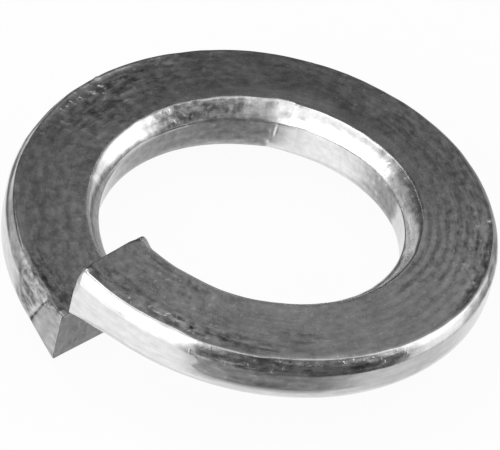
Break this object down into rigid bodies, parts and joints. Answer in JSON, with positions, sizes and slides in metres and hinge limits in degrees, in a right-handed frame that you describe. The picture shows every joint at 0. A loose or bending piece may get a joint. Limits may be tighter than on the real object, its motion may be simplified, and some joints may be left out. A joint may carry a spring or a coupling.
{
  "type": "spring lock washer",
  "caption": "Split ring coiled left-handed from steel strip, with square-cut ends set apart in height and bevelled upper edges; it presses back under a tightened nut or bolt head.",
  "frame": {"origin": "on the bore axis, level with the washer's lowest point", "axes": "+Z along the bore axis, from the lower cut end up to the upper one; the cut faces -Y"},
  "size_m": [0.0204, 0.0204, 0.0055],
  "materials": {
    "plated_spring_steel": "bright zinc plate over rolled spring steel, with dull flats, burnished bevels and walls, and sheared ends"
  },
  "bodies": {
    "root": {"spring_washer": "plated_spring_steel"}
  },
  "joints": []
}
